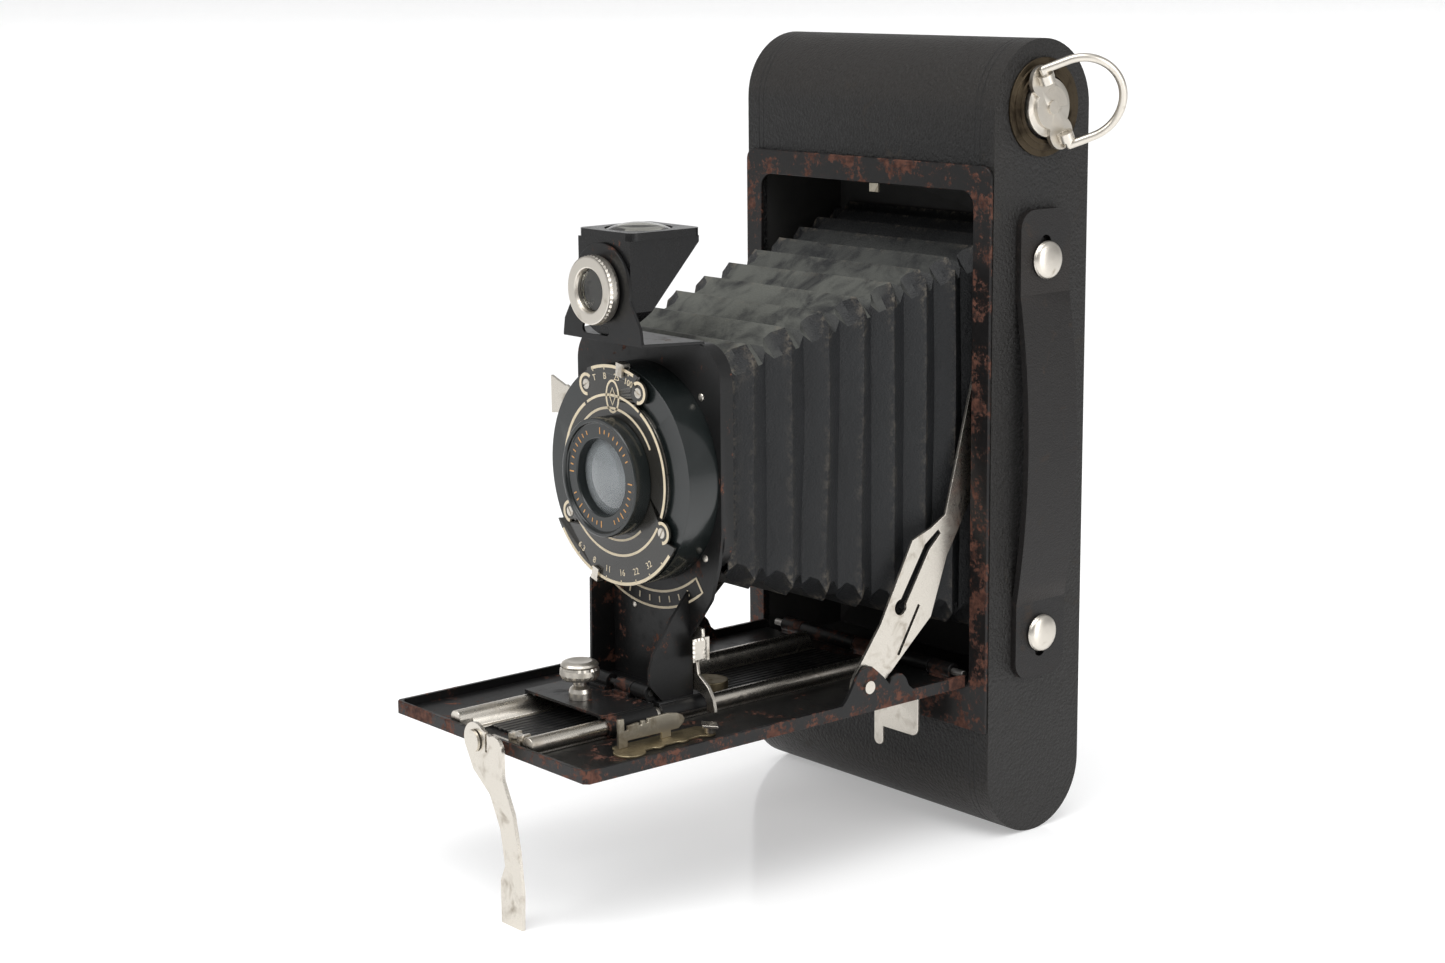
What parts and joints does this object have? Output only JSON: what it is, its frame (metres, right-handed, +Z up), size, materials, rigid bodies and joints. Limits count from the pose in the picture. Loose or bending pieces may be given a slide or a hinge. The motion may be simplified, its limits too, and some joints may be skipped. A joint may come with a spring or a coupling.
{
  "type": "folding roll-film camera",
  "caption": "Drop-bed folding camera: round-ended leather body, hinged bed with struts and rails, bellows, standard with leaf shutter, lens, turning reflex finder and folding stand leg.",
  "frame": {"origin": "centre of the mouth of the tripod bush in the underside of the bed", "axes": "+X towards the winding key and strap, -Y the way the lens looks, +Z up"},
  "size_m": [0.118, 0.1671, 0.212],
  "materials": {
    "black_leather": "pebbled, worn",
    "strap_leather": "worn",
    "bellows_leather": "dusty pleats",
    "black_enamel": "worn semi-gloss, rust patches",
    "shutter_enamel": "gloss",
    "blackened_steel": "matte",
    "nickel": "warm nickel plate, worn",
    "steel": "plain",
    "aged_brass": "tarnished",
    "glass": "clear",
    "ruby_glass": "red",
    "mirror_glass": "silvered",
    "spool_metal": "enamel on metal",
    "ribbed_black": "fine ribs"
  },
  "bodies": {
    "body": {"body_case": "black_leather", "film_gate": "blackened_steel", "front_frame": "black_enamel", "latch_post": "nickel", "inner_axles": "steel", "bed_hinge_pin": "steel", "key_escutcheon": "aged_brass", "strap": "strap_leather", "strap_studs": "nickel", "side_tripod_bush": "aged_brass", "bellows": "bellows_leather"},
    "back": {"back_cover": "black_leather", "pressure_plate": "blackened_steel", "red_window": "ruby_glass"},
    "roller_top": {"film_roller_top": "nickel"},
    "roller_bottom": {"film_roller_bottom": "nickel"},
    "key": {"winding_key": "nickel", "takeup_spool": "spool_metal"},
    "key_loop": {"key_bail": "nickel"},
    "supply": {"supply_spool": "spool_metal"},
    "pin_top": {"spool_pin_top": "nickel"},
    "pin_bottom": {"spool_pin_bottom": "nickel"},
    "bed": {"bed_tray": "black_enamel", "track_rails": "nickel", "track_strip": "ribbed_black", "bed_pins": "nickel", "scale_plate": "aged_brass", "scale_base": "aged_brass", "leg_bracket": "nickel", "bed_tripod_bush": "aged_brass"},
    "distance_lever": {"scale_lever": "nickel"},
    "leg": {"stand_leg": "nickel"},
    "foot": {"side_foot": "nickel"},
    "strut_l": {"strut_left": "nickel"},
    "strut_r": {"strut_right": "nickel"},
    "carriage": {"carriage_plate": "black_enamel", "carriage_hinge_pin": "blackened_steel"},
    "knob": {"carriage_knob": "nickel"},
    "standard": {"standard_panel": "black_enamel", "standard_base": "black_enamel", "shutter_case": "shutter_enamel", "shutter_face": "shutter_enamel", "face_screws": "nickel", "iris_leaves": "blackened_steel", "lens_barrel": "shutter_enamel", "front_lens": "glass", "rear_cell": "blackened_steel", "rear_lens": "glass", "finder_bracket": "black_enamel"},
    "speed": {"speed_lever": "nickel"},
    "aperture": {"aperture_lever": "nickel"},
    "release": {"release_lever": "nickel"},
    "blade_u": {"blade_upper": "blackened_steel"},
    "blade_l": {"blade_lower": "blackened_steel"},
    "grip_l": {"grip_left": "nickel"},
    "grip_r": {"grip_right": "nickel"},
    "finder": {"finder_body": "black_enamel", "finder_bezel": "nickel", "finder_lenses": "glass", "finder_mirror": "mirror_glass"}
  },
  "joints": [
    {"name": "bed_fold", "type": "hinge", "parent": "body", "child": "bed", "pos_m": [0, 0.057, 0.0025], "axis": [-1, 0, 0], "range_deg": [0, 45], "deforming": ["bellows"]},
    {"name": "carriage_slide", "type": "slide", "parent": "bed", "child": "carriage", "axis": [0, 1, 0], "range_m": [0, 0.044]},
    {"name": "standard_tilt", "type": "hinge", "parent": "carriage", "child": "standard", "pos_m": [0, -0.031, 0.009], "axis": [1, 0, 0], "range_deg": [0, 45]},
    {"name": "strut_left_fold", "type": "hinge", "parent": "bed", "child": "strut_l", "pos_m": [-0.0391, 0.0196, 0.0067], "axis": [1, 0, 0], "range_deg": [0, 45]},
    {"name": "strut_right_fold", "type": "hinge", "parent": "bed", "child": "strut_r", "pos_m": [0.0391, 0.0196, 0.0067], "axis": [1, 0, 0], "range_deg": [0, 45]},
    {"name": "leg_fold", "type": "hinge", "parent": "bed", "child": "leg", "pos_m": [0, -0.0746, 0.0025], "axis": [0, 1, 0], "range_deg": [0, 90]},
    {"name": "foot_fold", "type": "hinge", "parent": "bed", "child": "foot", "pos_m": [0.0211, 0.0484, -0.0012], "axis": [-1, 0, 0], "range_deg": [0, 90]},
    {"name": "distance_lever_turn", "type": "hinge", "parent": "bed", "child": "distance_lever", "pos_m": [0.0315, -0.026, 0.003], "axis": [0, 0, 1], "range_deg": [0, 90]},
    {"name": "knob_turn", "type": "hinge", "parent": "carriage", "child": "knob", "pos_m": [0, -0.0425, 0.01], "axis": [0, 0, 1], "range_deg": [-180, 0]},
    {"name": "key_wind", "type": "hinge", "parent": "body", "child": "key", "pos_m": [0.048, 0.0735, 0.1525], "axis": [1, 0, 0], "continuous": true},
    {"name": "key_loop_swing", "type": "hinge", "parent": "key", "child": "key_loop", "pos_m": [0.05265, 0.0735, 0.1525], "axis": [0, -0.454, 0.891], "range_deg": [-138, 38]},
    {"name": "supply_spin", "type": "hinge", "parent": "body", "child": "supply", "pos_m": [0, 0.0735, -0.0245], "axis": [1, 0, 0], "continuous": true},
    {"name": "roller_top_spin", "type": "hinge", "parent": "body", "child": "roller_top", "pos_m": [0, 0.0849, 0.1373], "axis": [1, 0, 0], "continuous": true},
    {"name": "roller_bottom_spin", "type": "hinge", "parent": "body", "child": "roller_bottom", "pos_m": [0, 0.0849, -0.0068], "axis": [1, 0, 0], "continuous": true},
    {"name": "spool_pin_top_pull", "type": "slide", "parent": "body", "child": "pin_top", "axis": [-1, 0, 0], "range_m": [0, 0.005]},
    {"name": "spool_pin_bottom_pull", "type": "slide", "parent": "body", "child": "pin_bottom", "axis": [-1, 0, 0], "range_m": [0, 0.005]},
    {"name": "back_slide", "type": "slide", "parent": "body", "child": "back", "axis": [0, 1, 0], "range_m": [0, 0.04]},
    {"name": "finder_turn", "type": "hinge", "parent": "standard", "child": "finder", "pos_m": [0, -0.033, 0.1105], "axis": [0, -1, 0], "range_deg": [0, 90]},
    {"name": "speed_set", "type": "hinge", "parent": "standard", "child": "speed", "pos_m": [0, -0.02915, 0.063], "axis": [0, 1, 0], "range_deg": [-30, 12]},
    {"name": "aperture_set", "type": "hinge", "parent": "standard", "child": "aperture", "pos_m": [0, -0.02955, 0.063], "axis": [0, 1, 0], "range_deg": [-44, 24]},
    {"name": "release_press", "type": "hinge", "parent": "standard", "child": "release", "pos_m": [0, -0.024, 0.063], "axis": [0, -1, 0], "range_deg": [0, 12], "stiffness_Nm_per_rad": 0.05},
    {"name": "blade_upper_open", "type": "slide", "parent": "standard", "child": "blade_u", "axis": [0, 0, 1], "range_m": [0, 0.0085]},
    {"name": "blade_lower_open", "type": "slide", "parent": "standard", "child": "blade_l", "axis": [0, 0, -1], "range_m": [0, 0.0085]},
    {"name": "grip_left_squeeze", "type": "slide", "parent": "standard", "child": "grip_l", "axis": [1, 0, 0], "range_m": [0, 0.002], "stiffness_N_per_m": 400},
    {"name": "grip_right_squeeze", "type": "slide", "parent": "standard", "child": "grip_r", "axis": [-1, 0, 0], "range_m": [0, 0.002], "stiffness_N_per_m": 400}
  ],
  "couplings": [
    {"joint": "carriage_slide", "follows": "bed_fold", "m_per_rad": 0.056},
    {"joint": "standard_tilt", "follows": "bed_fold", "ratio": 1},
    {"joint": "strut_left_fold", "follows": "bed_fold", "ratio": 1},
    {"joint": "strut_right_fold", "follows": "bed_fold", "ratio": 1},
    {"joint": "blade_upper_open", "follows": "release_press", "m_per_rad": 0.0405},
    {"joint": "blade_lower_open", "follows": "release_press", "m_per_rad": 0.0405}
  ]
}
